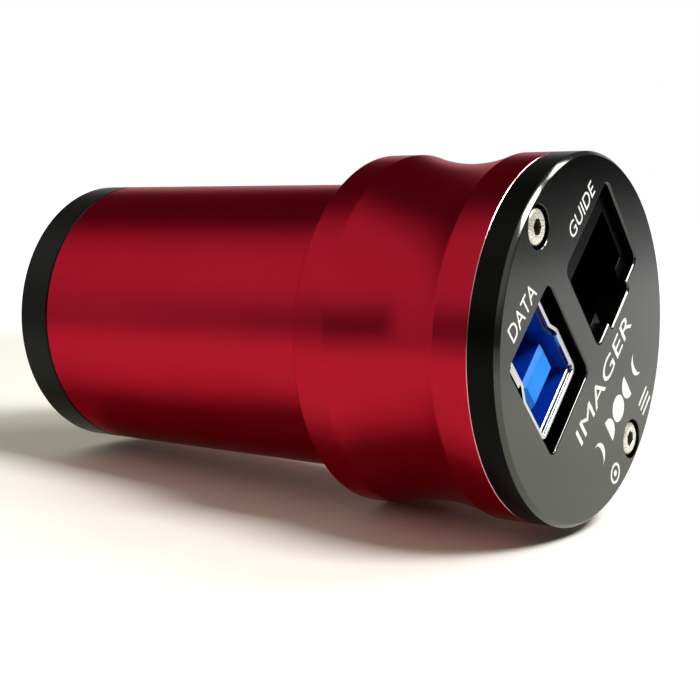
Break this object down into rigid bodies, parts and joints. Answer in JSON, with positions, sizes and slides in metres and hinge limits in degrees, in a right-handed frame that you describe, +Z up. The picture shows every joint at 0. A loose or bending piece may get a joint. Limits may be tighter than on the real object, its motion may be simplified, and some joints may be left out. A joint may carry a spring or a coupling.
{
  "type": "astronomy guide camera",
  "caption": "Tubular guide and planetary camera: red anodised nose barrel and waisted collar, screw-on black front ring with window, black rear plate with data socket and guide jack.",
  "frame": {"origin": "on the optical axis, in the plane of the collar's front shoulder, where the camera stops against a focuser", "axes": "-Y is the looking direction, out of the nose; +Y points out of the rear plate; +Z is up with the camera lying on its side; the rear layout's own up direction is rolled 45 degrees from +Z towards +X"},
  "size_m": [0.0378, 0.0666, 0.0378],
  "materials": {
    "red_anodised": "satin red anodised, fine bead-blasted and turned grain, bare bright line on the rear edge",
    "black_anodised": "satin black anodised with a polished chamfer",
    "seal_rubber": "matt nitrile rubber",
    "window_glass": "anti-reflection coated optical window",
    "sensor_glass": "clear cover glass",
    "circuit_board": "green solder mask over fibreglass",
    "stainless": "turned stainless steel",
    "stainless_bright": "bright stainless steel cap screws",
    "ceramic_package": "dark ceramic chip carrier",
    "silicon": "polished silicon with a faint iridescent cast",
    "flex_film": "amber polyimide film",
    "connector_ivory": "ivory moulded plastic",
    "chip_epoxy": "matt black epoxy",
    "crystal_can": "nickel-plated can",
    "ferrite": "grey ferrite",
    "ceramic_body": "tan ceramic with tinned ends",
    "connector_black": "black moulded plastic",
    "nickel_shell": "bright nickel-plated steel",
    "blue_plastic": "glossy blue moulded plastic",
    "gold_contacts": "gold-flashed phosphor bronze",
    "jack_black": "glossy black moulded plastic"
  },
  "bodies": {
    "camera": {"body_shell": "red_anodised", "sensor_board": "circuit_board", "sensor_board_screws": "stainless", "sensor_package": "ceramic_package", "sensor_die": "silicon", "sensor_cover_glass": "sensor_glass", "sensor_flex": "flex_film", "flex_connectors": "connector_ivory", "main_board": "circuit_board", "processor_chip": "chip_epoxy", "memory_chip": "chip_epoxy", "bridge_chip": "chip_epoxy", "flash_chip": "chip_epoxy", "clock_crystals": "crystal_can", "power_inductors": "ferrite", "ceramic_capacitors": "ceramic_body", "board_header": "connector_black", "connector_board": "circuit_board", "connector_board_screws": "stainless", "optocoupler_chip": "chip_epoxy", "usb_shell": "nickel_shell", "usb_insulator": "blue_plastic", "usb_contacts": "gold_contacts", "guide_jack_housing": "jack_black", "guide_jack_pins": "gold_contacts", "rear_plate": "black_anodised", "rear_screws": "stainless_bright"},
    "ring_travel": {"ring_seal": "seal_rubber"},
    "front_ring": {"front_ring": "black_anodised", "window_seal": "seal_rubber", "window_glass": "window_glass", "window_retainer": "black_anodised"},
    "guide_springs": {"guide_jack_springs": "gold_contacts"}
  },
  "joints": [
    {"name": "ring_slide", "type": "slide", "parent": "camera", "child": "ring_travel", "axis": [0, -1, 0], "range_m": [0, 0.004]},
    {"name": "ring_turn", "type": "hinge", "parent": "ring_travel", "child": "front_ring", "pos_m": [0, -0.0388, 0], "axis": [0, -1, 0], "range_deg": [0, 1816]},
    {"name": "guide_spring_lift", "type": "hinge", "parent": "camera", "child": "guide_springs", "pos_m": [-0.00081, 0.0197, 0.00972], "axis": [-0.7071, 0, 0.7071], "range_deg": [0, 12], "stiffness_Nm_per_rad": 0.05}
  ],
  "couplings": [
    {"joint": "ring_turn", "follows": "ring_slide", "rad_per_m": 7915.8}
  ]
}
